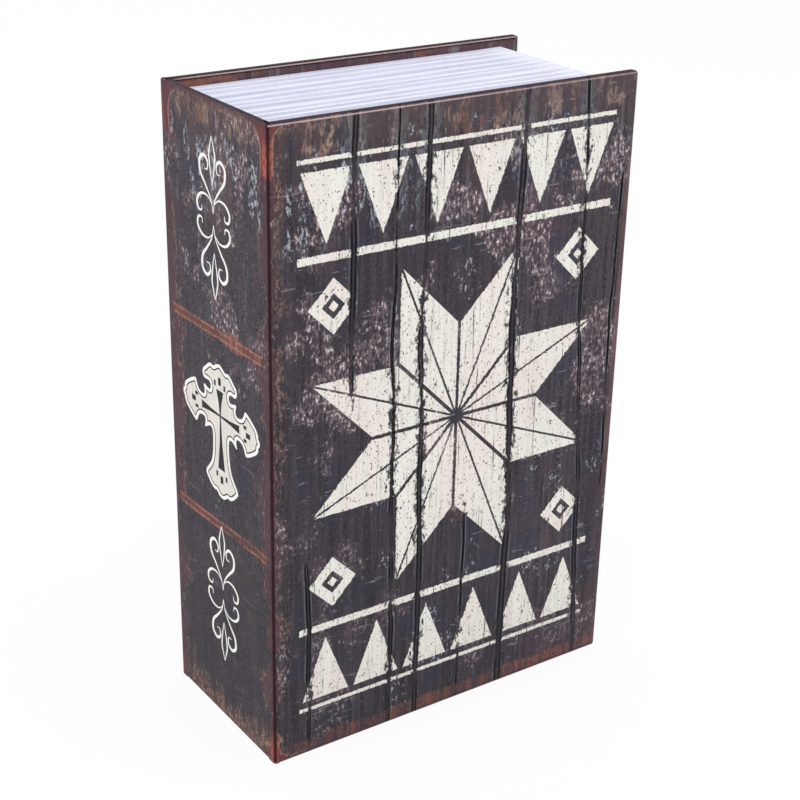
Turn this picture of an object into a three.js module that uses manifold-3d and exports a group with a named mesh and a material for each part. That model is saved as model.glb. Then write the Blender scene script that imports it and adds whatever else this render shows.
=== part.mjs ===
import * as THREE from 'three';
import { mergeVertices } from 'three/addons/utils/BufferGeometryUtils.js';
import Module from 'manifold-3d';

// A hidden safe made like a hardback book. It stands on its lower edge, as on a shelf.
// Millimetres, +Z up. X runs from the spine to the fore-edge and Y from the front cover to the back cover.
// The origin is under the middle of the book, on the shelf.

const wasm = await Module();
wasm.setup();

// Whole book
const bookHeight = 180;
const bookWidth = 115;
const bookThickness = 55;

// Fits
const seatGap = 0.3;
const glueLine = 0.05;
const cutOverrun = 1;

// Case: boards in a printed paper wrap, with its edges turned in
const boardThickness = 2;
const spineBoardThickness = 1.5;
const wrapThickness = 0.3;
const turnInWidth = 12;
const coverCornerRadius = 1.5;
const foldRadius = 1.2;
const foldSides = 8;
const spineEdgeGap = 0.6;
const pastedownThickness = 0.2;
const pastedownInset = 3.5;
const linerThickness = 0.2;
const linerWidth = 8;
const coverGap = 0.35;

// Page block: a moulded shell with the page edges in its outer faces
const headSquare = 3;
const foreEdgeSquare = 7;
const shellWall = 2;
const rimThickness = 2;
const skirtThickness = 1.2;
const skirtDepth = 6;
const pageBundleCount = 8;
const pageGrooveWidth = 0.8;
const pageGrooveDepth = 0.5;
const backPlateThickness = 2;
const bossHeight = 1.55;
const bossRadius = 3.5;
const pilotRadius = 1.7;
const pilotFloor = 0.5;

// Tray: pressed steel, sunk in the page block
const traySheet = 0.8;
const trayHeadMargin = 7.6;
const trayForeEdgeMargin = 7.6;
const traySpineMargin = 10.65;
const trayCornerRadius = 3;
const trayLipWidth = 4;
const mouthGap = 0.6;
const lidRecess = 2.7;

// Tray screws
const traySpacingX = 60;
const traySpacingZ = 100;
const trayHoleRadius = 1.8;
const screwHeadRadius = 2.8;
const screwHeadHeight = 1.6;
const screwShankRadius = 1.5;
const screwTipGap = 0.2;
const recessLength = 3.2;
const recessWidth = 0.7;
const recessDepth = 0.8;

// Lid and its hinge
const lidSheet = 1;
const lidFlangeDepth = 5;
const lidFlangeGap = 0.6;
const lidFlangeSetback = 4;
const lidCornerRadius = 2;
const lidLeanRoom = 1.5;
const knuckleRadius = 1.7;
const knuckleCount = 5;
const knuckleLength = 20;
const knuckleGap = 0.4;
const pinRadius = 0.9;
const pinPlay = 0.15;
const pinHeadRadius = 1.5;
const pinHeadHeight = 0.8;

// Cam lock in the lid
const lockFromTrayEdge = 16.9;
const flangeRadius = 7.5;
const flangeThickness = 1.5;
const barrelRadius = 6;
const barrelLength = 9;
const barrelFlatHalfWidth = 5.1;
const plugRadius = 3.4;
const plugPlay = 0.2;
const plugFaceRadius = 4.2;
const plugFaceThickness = 1.2;
const plugFaceSink = 0.1;
const plugShoulderStandOff = 0.3;
const keywayWidth = 1.2;
const keywayHeight = 5.6;
const keywayDepth = 6;
const tailWidth = 4;
const tailPlay = 0.15;
const camThickness = 1.5;
const camWidth = 8;
const camHubRadius = 5;
const camReachPastTray = 0.7;
const camPlay = 0.5;
const washerRadius = 8;
const washerThickness = 0.6;
const nutAcrossFlats = 15;
const nutThickness = 3;
const camScrewHeadRadius = 3.2;
const camScrewHeadHeight = 1.6;
const camScrewRadius = 1.4;
const camScrewLength = 5;

// Facets
const cornerSides = 6;
const smallRoundSides = 24;
const roundSides = 36;

// Outer faces of the book
const spineFace = -bookWidth / 2;
const foreEdgeFace = bookWidth / 2;
const frontFace = -bookThickness / 2;
const backFace = bookThickness / 2;
const coverThickness = wrapThickness + glueLine + boardThickness + glueLine + wrapThickness;
const spineThickness = wrapThickness + glueLine + spineBoardThickness + glueLine + wrapThickness;
const coverStart = spineFace + foldRadius + seatGap;
const spineFront = frontFace + coverThickness + spineEdgeGap;
const spineBack = backFace - coverThickness - spineEdgeGap;

const linerEnd = spineFace + spineThickness + glueLine + linerThickness / 2 + linerWidth;

// Faces of the page block
const blockSpineSide = spineFace + spineThickness + glueLine + linerThickness + seatGap;
const blockForeEdge = foreEdgeFace - foreEdgeSquare;
const blockBottom = headSquare;
const blockTop = bookHeight - headSquare;
const liningThickness = Math.max(pastedownThickness, linerThickness);
const blockFront = frontFace + coverThickness + glueLine + liningThickness + coverGap;
const blockBack = backFace - coverThickness - glueLine - pastedownThickness - glueLine;
const bossFront = blockBack - backPlateThickness - bossHeight;

// Faces of the tray
const traySpineSide = blockSpineSide + traySpineMargin;
const trayForeEdge = blockForeEdge - trayForeEdgeMargin;
const trayBottom = blockBottom + trayHeadMargin;
const trayTop = blockTop - trayHeadMargin;
const lidOuter = blockFront + lidRecess;
const lidInner = lidOuter + lidSheet;
const trayFront = lidInner + seatGap;
const trayBack = bossFront - glueLine;
const trayFloor = trayBack - traySheet;
const trayMiddleX = (traySpineSide + trayForeEdge) / 2;
const trayMiddleZ = (trayBottom + trayTop) / 2;

// Hinge pin line, with the knuckles rolled from the tray's wall and from the lid
const pinX = traySpineSide + traySheet - knuckleRadius;
const pinY = lidOuter + knuckleRadius;
const boreRadius = pinRadius + pinPlay;
const knucklePitch = knuckleLength + knuckleGap;
const hingeLength = knucklePitch * knuckleCount - knuckleGap;
const hingeBottom = trayMiddleZ - hingeLength / 2;
const mouthSpineSide = pinX - knuckleRadius - lidLeanRoom;

// Lock axis and the faces along it
const lockX = trayForeEdge - lockFromTrayEdge;
const lockZ = trayMiddleZ;
const flangeBack = lidOuter - glueLine;
const flangeFront = flangeBack - flangeThickness;
const barrelEnd = lidOuter + barrelLength;
const plugFaceFront = flangeFront + plugFaceSink;
const plugFaceBack = plugFaceFront + plugFaceThickness;
const plugShoulder = barrelEnd + plugShoulderStandOff;
const camFront = plugShoulder + glueLine;
const camBack = camFront + camThickness;
const camReach = trayForeEdge - lockX + camReachPastTray;

function solidOf(geometry) {
  const plain = geometry.index ? geometry.toNonIndexed() : geometry.clone();
  plain.deleteAttribute('normal');
  plain.deleteAttribute('uv');
  const merged = mergeVertices(plain);
  const vertProperties = new Float32Array(merged.attributes.position.array);
  const triVerts = new Uint32Array(wholeTriangles(merged.index.array));
  return new wasm.Manifold(new wasm.Mesh({ numProp: 3, vertProperties, triVerts }));
}

// Leaves out the triangles that have no area, such as those at the poles of a turned shape
function wholeTriangles(index) {
  const kept = [];
  for (let first = 0; first < index.length; first += 3) {
    const [a, b, c] = index.slice(first, first + 3);
    if (a !== b && b !== c && c !== a) kept.push(a, b, c);
  }
  return kept;
}

function geometryOf(solid) {
  const mesh = solid.getMesh();
  const geometry = new THREE.BufferGeometry();
  const positions = new THREE.BufferAttribute(new Float32Array(mesh.vertProperties), mesh.numProp);
  geometry.setAttribute('position', positions);
  geometry.setIndex(new THREE.BufferAttribute(new Uint32Array(mesh.triVerts), 1));
  geometry.computeVertexNormals();
  return geometry;
}

function join(first, ...others) {
  return others.reduce((whole, other) => whole.add(other), first);
}

function cut(first, ...others) {
  return others.reduce((rest, other) => rest.subtract(other), first);
}

// A box between two corners
function block(xFrom, xTo, yFrom, yTo, zFrom, zTo) {
  const geometry = new THREE.BoxGeometry(xTo - xFrom, yTo - yFrom, zTo - zFrom);
  geometry.translate((xFrom + xTo) / 2, (yFrom + yTo) / 2, (zFrom + zTo) / 2);
  return solidOf(geometry);
}

// A round bar along Y
function barAlongY(radius, yFrom, yTo, x, z, sides) {
  const geometry = new THREE.CylinderGeometry(radius, radius, yTo - yFrom, sides);
  geometry.translate(x, (yFrom + yTo) / 2, z);
  return solidOf(geometry);
}

// A round bar along Z
function barAlongZ(radius, zFrom, zTo, x, y, sides) {
  const geometry = new THREE.CylinderGeometry(radius, radius, zTo - zFrom, sides);
  geometry.rotateX(Math.PI / 2);
  geometry.translate(x, y, (zFrom + zTo) / 2);
  return solidOf(geometry);
}

// A post along Z from the corners of its outline in X and Y
function postFromOutline(points, zFrom, zTo) {
  const depth = zTo - zFrom;
  const geometry = new THREE.ExtrudeGeometry(new THREE.Shape(points), { depth, bevelEnabled: false });
  geometry.translate(0, 0, zFrom);
  return solidOf(geometry);
}

// A plate along Y from an outline drawn in X and Z
function plateAlongY(outline, yFrom, yTo) {
  const geometry = new THREE.ExtrudeGeometry(outline, {
    depth: yTo - yFrom,
    bevelEnabled: false,
    curveSegments: cornerSides,
  });
  geometry.rotateX(Math.PI / 2);
  geometry.translate(0, yTo, 0);
  return solidOf(geometry);
}

// A rectangle in X and Z with its own radius for the corners on each side
function roundedRectangle(xFrom, xTo, zFrom, zTo, spineRadius, foreEdgeRadius) {
  const outline = new THREE.Shape();
  outline.moveTo(xFrom + spineRadius, zFrom);
  outline.lineTo(xTo - foreEdgeRadius, zFrom);
  outline.absarc(xTo - foreEdgeRadius, zFrom + foreEdgeRadius, foreEdgeRadius, -Math.PI / 2, 0, false);
  outline.absarc(xTo - foreEdgeRadius, zTo - foreEdgeRadius, foreEdgeRadius, 0, Math.PI / 2, false);
  outline.absarc(xFrom + spineRadius, zTo - spineRadius, spineRadius, Math.PI / 2, Math.PI, false);
  outline.absarc(xFrom + spineRadius, zFrom + spineRadius, spineRadius, Math.PI, Math.PI * 3 / 2, false);
  return outline;
}

// A rectangle square on the spine side and round at the fore-edge
function coverOutline(xFrom, xTo, zFrom, zTo, radius) {
  const outline = new THREE.Shape();
  outline.moveTo(xFrom, zFrom);
  outline.lineTo(xTo - radius, zFrom);
  outline.absarc(xTo - radius, zFrom + radius, radius, -Math.PI / 2, 0, false);
  outline.absarc(xTo - radius, zTo - radius, radius, 0, Math.PI / 2, false);
  outline.lineTo(xFrom, zTo);
  return outline;
}

// One cover's board. outside is the cover's outer face and inward is 1 or -1 along Y.
function coverBoard(outside, inward) {
  const skin = wrapThickness + glueLine;
  const near = outside + inward * skin;
  const far = near + inward * boardThickness;
  const radius = coverCornerRadius - skin;
  const outline = coverOutline(coverStart, foreEdgeFace - skin, skin, bookHeight - skin, radius);
  return plateAlongY(outline, Math.min(near, far), Math.max(near, far));
}

// One cover's printed wrap, folded round three edges of its board
function coverWrap(outside, inward) {
  const far = outside + inward * coverThickness;
  const cavityNear = outside + inward * wrapThickness;
  const cavityFar = far - inward * wrapThickness;
  const beyond = far + inward * cutOverrun;
  const open = coverStart - cutOverrun;
  const whole = plateAlongY(
    coverOutline(coverStart, foreEdgeFace, 0, bookHeight, coverCornerRadius),
    Math.min(outside, far),
    Math.max(outside, far),
  );
  const cavity = plateAlongY(
    coverOutline(
      open,
      foreEdgeFace - wrapThickness,
      wrapThickness,
      bookHeight - wrapThickness,
      coverCornerRadius - wrapThickness,
    ),
    Math.min(cavityNear, cavityFar),
    Math.max(cavityNear, cavityFar),
  );
  const middle = (cavityNear + cavityFar) / 2;
  const window = block(
    open,
    foreEdgeFace - turnInWidth,
    Math.min(middle, beyond),
    Math.max(middle, beyond),
    turnInWidth,
    bookHeight - turnInWidth,
  );
  return cut(whole, cavity, window);
}

function spineBoard() {
  const skin = wrapThickness + glueLine;
  const near = spineFace + skin;
  return block(near, near + spineBoardThickness, spineFront, spineBack, skin, bookHeight - skin);
}

function spineWrap() {
  const far = spineFace + spineThickness;
  const open = cutOverrun;
  const whole = block(spineFace, far, spineFront, spineBack, 0, bookHeight);
  const cavity = block(
    spineFace + wrapThickness,
    far - wrapThickness,
    spineFront - open,
    spineBack + open,
    wrapThickness,
    bookHeight - wrapThickness,
  );
  const window = block(
    (spineFace + far) / 2,
    far + open,
    spineFront - open,
    spineBack + open,
    turnInWidth,
    bookHeight - turnInWidth,
  );
  return cut(whole, cavity, window);
}

// The free strip of wrap that bends between a cover and the spine
function foldStrip(outside, inward) {
  const legEnd = coverThickness + spineEdgeGap - seatGap;
  const outer = [];
  const inner = [];
  for (let step = 0; step <= foldSides; step += 1) {
    const angle = (step / foldSides) * Math.PI / 2;
    const alongX = Math.sin(angle);
    const alongY = Math.cos(angle);
    const inside = foldRadius - wrapThickness;
    outer.push([foldRadius - foldRadius * alongX, foldRadius - foldRadius * alongY]);
    inner.push([foldRadius - inside * alongX, foldRadius - inside * alongY]);
  }
  outer.push([0, legEnd]);
  inner.push([wrapThickness, legEnd]);
  const round = [...outer, ...inner.reverse()];
  const points = round.map(([x, y]) => new THREE.Vector2(spineFace + x, outside + inward * y));
  return postFromOutline(points, 0, bookHeight);
}

// The inner strip that lines the joint of the cover that opens. From the spine's inner face it dips round
// the edge of the spine board to the fold, then climbs round the edge of the cover to its inner face.
function jointLiner() {
  const half = linerThickness / 2;
  const skin = wrapThickness + glueLine + half;
  const onSpine = spineThickness + glueLine + half;
  const onCover = coverThickness + glueLine + half;
  const spineEdge = coverThickness + spineEdgeGap - glueLine - half;
  const coverEdge = foldRadius + seatGap - glueLine - half;
  const path = [
    [onSpine, onCover + linerWidth],
    [onSpine, spineEdge],
    [skin, spineEdge],
  ];
  for (let step = 0; step <= foldSides / 2; step += 1) {
    const angle = (step / foldSides) * Math.PI;
    const bend = foldRadius - skin;
    path.push([foldRadius - bend * Math.cos(angle), foldRadius - bend * Math.sin(angle)]);
  }
  path.push([coverEdge, skin]);
  path.push([coverEdge, onCover]);
  path.push([linerEnd - spineFace, onCover]);
  const outline = stripOutline(path, linerThickness);
  const points = outline.map(([x, y]) => new THREE.Vector2(spineFace + x, frontFace + y));
  return postFromOutline(points, headSquare, bookHeight - headSquare);
}

// The outline of a strip of even thickness along a path, with mitred corners
function stripOutline(path, thickness) {
  const half = thickness / 2;
  const left = [];
  const right = [];
  const runs = path.slice(1).map((point, index) => directionBetween(path[index], point));
  path.forEach(([x, y], index) => {
    const before = runs[Math.max(index - 1, 0)];
    const after = runs[Math.min(index, runs.length - 1)];
    const across = [-(before[1] + after[1]) / 2, (before[0] + after[0]) / 2];
    const reach = half / (across[0] * across[0] + across[1] * across[1]);
    left.push([x + across[0] * reach, y + across[1] * reach]);
    right.push([x - across[0] * reach, y - across[1] * reach]);
  });
  return [...left, ...right.reverse()];
}

function directionBetween([fromX, fromY], [toX, toY]) {
  const length = Math.hypot(toX - fromX, toY - fromY);
  return [(toX - fromX) / length, (toY - fromY) / length];
}

// The sheet glued over a cover's turned-in edges
function pastedown(outside, inward, xFrom) {
  const near = outside + inward * (coverThickness + glueLine);
  const far = near + inward * pastedownThickness;
  return block(
    xFrom,
    foreEdgeFace - pastedownInset,
    Math.min(near, far),
    Math.max(near, far),
    pastedownInset,
    bookHeight - pastedownInset,
  );
}

// The page block: bundles of pages on three sides, a rim round the mouth and a skirt behind it
function pageShell() {
  const inset = pageGrooveDepth;
  const pitch = (blockBack - blockFront) / pageBundleCount;
  let shell = block(
    blockSpineSide,
    blockForeEdge - inset,
    blockFront,
    blockBack,
    blockBottom + inset,
    blockTop - inset,
  );
  for (let bundle = 0; bundle < pageBundleCount; bundle += 1) {
    const front = blockFront + bundle * pitch + (bundle > 0 ? pageGrooveWidth / 2 : 0);
    const last = bundle === pageBundleCount - 1;
    const back = blockFront + (bundle + 1) * pitch - (last ? 0 : pageGrooveWidth / 2);
    shell = join(shell, block(blockSpineSide, blockForeEdge, front, back, blockBottom, blockTop));
  }
  const hollow = block(
    blockSpineSide + shellWall,
    blockForeEdge - shellWall,
    blockFront + rimThickness,
    blockBack + cutOverrun,
    blockBottom + shellWall,
    blockTop - shellWall,
  );
  const skirtEnd = blockFront + rimThickness + skirtDepth;
  const skirt = plateAlongY(mouthOutline(skirtThickness), blockFront + rimThickness / 2, skirtEnd);
  const mouth = plateAlongY(mouthOutline(0), blockFront - cutOverrun, skirtEnd + cutOverrun);
  return cut(join(cut(shell, hollow), skirt), mouth);
}

// The mouth follows the tray's corners at the fore-edge.
// Beside the hinge its corners are tighter, to clear the open lid.
function mouthOutline(grow) {
  return roundedRectangle(
    mouthSpineSide - grow,
    trayForeEdge + mouthGap + grow,
    trayBottom - mouthGap - grow,
    trayTop + mouthGap + grow,
    mouthGap + grow,
    trayCornerRadius + mouthGap + grow,
  );
}

function screwPlaces() {
  const places = [];
  for (const alongZ of [-traySpacingZ / 2, traySpacingZ / 2]) {
    for (const alongX of [-traySpacingX / 2, traySpacingX / 2]) {
      places.push([trayMiddleX + alongX, trayMiddleZ + alongZ]);
    }
  }
  return places;
}

function backPlate() {
  const edge = shellWall + seatGap;
  const front = blockBack - backPlateThickness;
  let plate = block(
    blockSpineSide + edge,
    blockForeEdge - edge,
    front,
    blockBack,
    blockBottom + edge,
    blockTop - edge,
  );
  const pilotFrom = bossFront - cutOverrun;
  for (const [x, z] of screwPlaces()) {
    plate = join(plate, barAlongY(bossRadius, bossFront, front + backPlateThickness / 2, x, z, roundSides));
    plate = cut(plate, barAlongY(pilotRadius, pilotFrom, blockBack - pilotFloor, x, z, smallRoundSides));
  }
  return plate;
}

// Knuckles are numbered from the lowest; the even ones belong to the tray and the odd ones to the lid
function knuckleFrom(number) {
  return hingeBottom + number * knucklePitch;
}

// The stretches that one body's knuckles leave clear for the other's, and for the heads of the pin
function clearStretches(parity) {
  const headRoom = seatGap + pinHeadHeight + seatGap;
  const stretches = [
    [hingeBottom - headRoom, hingeBottom],
    [hingeBottom + hingeLength, hingeBottom + hingeLength + headRoom],
  ];
  for (let number = parity; number < knuckleCount; number += 2) {
    const from = knuckleFrom(number);
    stretches.push([from - knuckleGap, from + knuckleLength + knuckleGap]);
  }
  return stretches;
}

function knuckles(parity) {
  const bars = [];
  for (let number = parity; number < knuckleCount; number += 2) {
    const from = knuckleFrom(number);
    bars.push(barAlongZ(knuckleRadius, from, from + knuckleLength, pinX, pinY, smallRoundSides));
  }
  return bars;
}

function knuckleBore() {
  const from = hingeBottom - cutOverrun;
  return barAlongZ(boreRadius, from, hingeBottom + hingeLength + cutOverrun, pinX, pinY, smallRoundSides);
}

function tray() {
  const innerRadius = trayCornerRadius - traySheet;
  const lip = traySheet + trayLipWidth;
  const whole = plateAlongY(
    roundedRectangle(traySpineSide, trayForeEdge, trayBottom, trayTop, trayCornerRadius, trayCornerRadius),
    trayFront,
    trayBack,
  );
  const hollow = plateAlongY(
    roundedRectangle(
      traySpineSide + traySheet,
      trayForeEdge - traySheet,
      trayBottom + traySheet,
      trayTop - traySheet,
      innerRadius,
      innerRadius,
    ),
    trayFront + traySheet,
    trayFloor,
  );
  const mouth = plateAlongY(
    roundedRectangle(
      traySpineSide + traySheet,
      trayForeEdge - lip,
      trayBottom + lip,
      trayTop - lip,
      innerRadius,
      trayCornerRadius,
    ),
    trayFront - cutOverrun,
    trayFront + traySheet + cutOverrun,
  );
  let shell = cut(whole, hollow, mouth, strikeSlot());
  const holeFrom = trayFloor - cutOverrun;
  const holeTo = trayBack + cutOverrun;
  for (const [x, z] of screwPlaces()) {
    shell = cut(shell, barAlongY(trayHoleRadius, holeFrom, holeTo, x, z, smallRoundSides));
  }
  for (const [from, to] of clearStretches(1)) {
    shell = cut(shell, wallNotch(from, to));
  }
  return cut(join(shell, ...knuckles(0)), knuckleBore());
}

// The cut in the tray's wall that lets the lid's knuckles turn
function wallNotch(from, to) {
  return block(
    traySpineSide - cutOverrun,
    traySpineSide + traySheet + cutOverrun,
    trayFront - cutOverrun,
    pinY + knuckleRadius + seatGap,
    from,
    to,
  );
}

// The slot in the tray's fore-edge wall that takes the tip of the cam, and the room its sweep needs
function strikeSlot() {
  const wallInside = trayForeEdge - traySheet - lockX;
  const sweep = Math.sqrt(camReach * camReach - wallInside * wallInside);
  return block(
    trayForeEdge - traySheet - cutOverrun,
    trayForeEdge + cutOverrun,
    camFront - camPlay,
    camBack + camPlay,
    lockZ - camWidth / 2 - camPlay,
    lockZ + sweep + camPlay,
  );
}

function lid() {
  let panel = plateAlongY(
    roundedRectangle(pinX, trayForeEdge, trayBottom, trayTop, lidCornerRadius, trayCornerRadius),
    lidOuter,
    lidInner,
  );
  panel = join(panel, lidFlange());
  for (const [from, to] of clearStretches(0)) {
    panel = cut(panel, panelNotch(from, to));
  }
  const lockHole = barrelBody(seatGap, lidOuter - cutOverrun, lidInner + cutOverrun);
  return cut(join(panel, ...knuckles(1)), knuckleBore(), lockHole);
}

// The cut in the lid's edge that clears the tray's knuckles
function panelNotch(from, to) {
  return block(
    pinX - cutOverrun,
    pinX + knuckleRadius + seatGap,
    lidOuter - cutOverrun,
    lidInner + cutOverrun,
    from,
    to,
  );
}

// The flange on three sides of the lid, just inside the tray's lip
function lidFlange() {
  const edge = traySheet + trayLipWidth + lidFlangeGap;
  const spineSide = pinX + lidFlangeSetback;
  const back = lidInner + lidFlangeDepth;
  const outer = plateAlongY(
    coverOutline(spineSide, trayForeEdge - edge, trayBottom + edge, trayTop - edge, trayCornerRadius),
    lidInner - lidSheet / 2,
    back,
  );
  const inner = plateAlongY(
    coverOutline(
      spineSide - cutOverrun,
      trayForeEdge - edge - lidSheet,
      trayBottom + edge + lidSheet,
      trayTop - edge - lidSheet,
      trayCornerRadius - lidSheet,
    ),
    lidInner - lidSheet,
    back + cutOverrun,
  );
  return cut(outer, inner);
}

function hingePin() {
  const low = hingeBottom - seatGap;
  const high = hingeBottom + hingeLength + seatGap;
  const inHead = pinHeadHeight / 2;
  const shaft = barAlongZ(pinRadius, low - inHead, high + inHead, pinX, pinY, smallRoundSides);
  const lowHead = barAlongZ(pinHeadRadius, low - pinHeadHeight, low, pinX, pinY, smallRoundSides);
  const highHead = barAlongZ(pinHeadRadius, high, high + pinHeadHeight, pinX, pinY, smallRoundSides);
  return join(shaft, lowHead, highHead);
}

// The lock's body has two flats, and the lid's hole is the same shape, larger by grow
function barrelBody(grow, yFrom, yTo) {
  const bar = barAlongY(barrelRadius + grow, yFrom, yTo, lockX, lockZ, roundSides);
  const half = barrelFlatHalfWidth + grow;
  const room = barrelRadius + grow + cutOverrun;
  const between = block(
    lockX - half,
    lockX + half,
    yFrom - cutOverrun,
    yTo + cutOverrun,
    lockZ - room,
    lockZ + room,
  );
  return bar.intersect(between);
}

function lockBarrel() {
  const flange = barAlongY(flangeRadius, flangeFront, flangeBack, lockX, lockZ, roundSides);
  const body = barrelBody(0, flangeFront + flangeThickness / 2, barrelEnd);
  const from = flangeFront - cutOverrun;
  const bore = barAlongY(plugRadius + plugPlay, from, barrelEnd + cutOverrun, lockX, lockZ, roundSides);
  const sink = barAlongY(plugFaceRadius + plugPlay, from, plugFaceBack + plugPlay, lockX, lockZ, roundSides);
  return cut(join(flange, body), bore, sink);
}

function lockPlug() {
  const face = barAlongY(plugFaceRadius, plugFaceFront, plugFaceBack, lockX, lockZ, roundSides);
  const inFace = plugFaceFront + plugFaceThickness / 2;
  const body = barAlongY(plugRadius, inFace, plugShoulder, lockX, lockZ, roundSides);
  const tailEnd = camBack - glueLine;
  const tail = squareAlongY(tailWidth, plugShoulder - camThickness, tailEnd);
  const keyway = block(
    lockX - keywayWidth / 2,
    lockX + keywayWidth / 2,
    plugFaceFront - cutOverrun,
    plugFaceFront + keywayDepth,
    lockZ - keywayHeight / 2,
    lockZ + keywayHeight / 2,
  );
  const screwTip = camBack + glueLine - camScrewLength;
  const screwHole = barAlongY(
    camScrewRadius + plugPlay,
    screwTip - screwTipGap,
    tailEnd + cutOverrun,
    lockX,
    lockZ,
    smallRoundSides,
  );
  return cut(join(face, body, tail), keyway, screwHole);
}

function squareAlongY(width, yFrom, yTo) {
  const half = width / 2;
  return block(lockX - half, lockX + half, yFrom, yTo, lockZ - half, lockZ + half);
}

function lockWasher() {
  const front = lidInner + glueLine;
  const disc = barAlongY(washerRadius, front, front + washerThickness, lockX, lockZ, roundSides);
  return cut(disc, barrelBody(seatGap, front - cutOverrun, front + washerThickness + cutOverrun));
}

function lockNut() {
  const front = lidInner + glueLine + washerThickness + glueLine;
  const hexSides = 6;
  const radius = nutAcrossFlats / 2 / Math.cos(Math.PI / hexSides);
  const hex = barAlongY(radius, front, front + nutThickness, lockX, lockZ, hexSides);
  const hole = barAlongY(
    barrelRadius + seatGap,
    front - cutOverrun,
    front + nutThickness + cutOverrun,
    lockX,
    lockZ,
    roundSides,
  );
  return cut(hex, hole);
}

// The cam points up at rest, clear of the tray, which is the unlocked place
function lockCam() {
  const half = camWidth / 2;
  const hub = barAlongY(camHubRadius, camFront, camBack, lockX, lockZ, roundSides);
  const tip = barAlongY(half, camFront, camBack, lockX, lockZ + camReach - half, roundSides);
  const arm = block(lockX - half, lockX + half, camFront, camBack, lockZ, lockZ + camReach - half);
  const hole = squareAlongY(tailWidth + tailPlay + tailPlay, camFront - cutOverrun, camBack + cutOverrun);
  return cut(join(hub, arm, tip), hole);
}

// A screw with a pan head, a crossed recess and a plain shank.
// Its head lies on the seat, towards headSide, which is 1 or -1 along Y.
function panScrew(headRadius, headHeight, shankRadius, shankLength, x, seat, z, headSide) {
  const headShares = [[0, 1], [0.45, 0.94], [0.8, 0.72], [0.96, 0.4], [1, 0.12], [1, 0]];
  const profile = headShares.map(([across, up]) => new THREE.Vector2(headRadius * across, headHeight * up));
  profile.push(new THREE.Vector2(shankRadius, 0));
  profile.push(new THREE.Vector2(shankRadius, -shankLength));
  profile.push(new THREE.Vector2(0, -shankLength));
  const turned = new THREE.LatheGeometry(profile.reverse(), smallRoundSides);
  if (headSide < 0) turned.rotateX(Math.PI);
  turned.translate(x, seat, z);
  const half = recessWidth / 2;
  const reach = recessLength / 2;
  const top = seat + headSide * headHeight;
  const beyond = top + headSide * cutOverrun;
  const bottom = top - headSide * recessDepth;
  const [low, high] = [Math.min(beyond, bottom), Math.max(beyond, bottom)];
  const upright = block(x - half, x + half, low, high, z - reach, z + reach);
  const level = block(x - reach, x + reach, low, high, z - half, z + half);
  return cut(solidOf(turned), upright, level);
}

function camScrew() {
  const seat = camBack + glueLine;
  return panScrew(
    camScrewHeadRadius,
    camScrewHeadHeight,
    camScrewRadius,
    camScrewLength,
    lockX,
    seat,
    lockZ,
    1,
  );
}

function trayScrew([x, z]) {
  const seat = trayFloor - glueLine;
  const length = blockBack - pilotFloor - screwTipGap - seat;
  return panScrew(screwHeadRadius, screwHeadHeight, screwShankRadius, length, x, seat, z, -1);
}

// Finishes: colour, roughness and metalness
const finishes = {
  board: ['#8c8273', 0.9, 0],
  print: ['#3b3431', 0.62, 0],
  lining: ['#5b2f2a', 0.7, 0],
  pages: ['#d6d9e6', 0.55, 0],
  coated: ['#26282b', 0.5, 0.2],
  plated: ['#c9ccd0', 0.25, 1],
  steel: ['#9da1a6', 0.38, 1],
};

const book = new THREE.Group();

function addPiece(name, solid, finish) {
  const [color, roughness, metalness] = finishes[finish];
  const material = new THREE.MeshStandardMaterial({ color, roughness, metalness });
  const mesh = new THREE.Mesh(geometryOf(solid), material);
  mesh.name = name;
  book.add(mesh);
}

addPiece('back_board', coverBoard(backFace, -1), 'board');
addPiece('spine_board', spineBoard(), 'board');
addPiece('front_board', coverBoard(frontFace, 1), 'board');
addPiece('back_cover_wrap', coverWrap(backFace, -1), 'print');
addPiece('spine_wrap', spineWrap(), 'print');
addPiece('front_cover_wrap', coverWrap(frontFace, 1), 'print');
addPiece('back_joint', foldStrip(backFace, -1), 'print');
addPiece('front_joint', foldStrip(frontFace, 1), 'print');
addPiece('joint_liner', jointLiner(), 'lining');
addPiece('back_pastedown', pastedown(backFace, -1, coverStart), 'lining');
addPiece('front_pastedown', pastedown(frontFace, 1, linerEnd + seatGap), 'lining');
addPiece('page_shell', pageShell(), 'pages');
addPiece('back_plate', backPlate(), 'pages');
addPiece('tray', tray(), 'coated');
addPiece('lid', lid(), 'coated');
addPiece('hinge_pin', hingePin(), 'steel');
addPiece('lock_barrel', lockBarrel(), 'plated');
addPiece('lock_plug', lockPlug(), 'plated');
addPiece('lock_washer', lockWasher(), 'steel');
addPiece('lock_nut', lockNut(), 'steel');
addPiece('lock_cam', lockCam(), 'steel');
addPiece('cam_screw', camScrew(), 'steel');
screwPlaces().forEach((place, index) => addPiece(`tray_screw_${index + 1}`, trayScrew(place), 'steel'));

export default book;
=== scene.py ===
# Looks of a book safe with a printed cover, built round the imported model.
# Lengths in the tables are millimetres and are turned to metres when a mesh is made.
import math
import random

import bpy
import bmesh
from mathutils import Matrix, Vector
from mathutils.geometry import delaunay_2d_cdt


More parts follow.
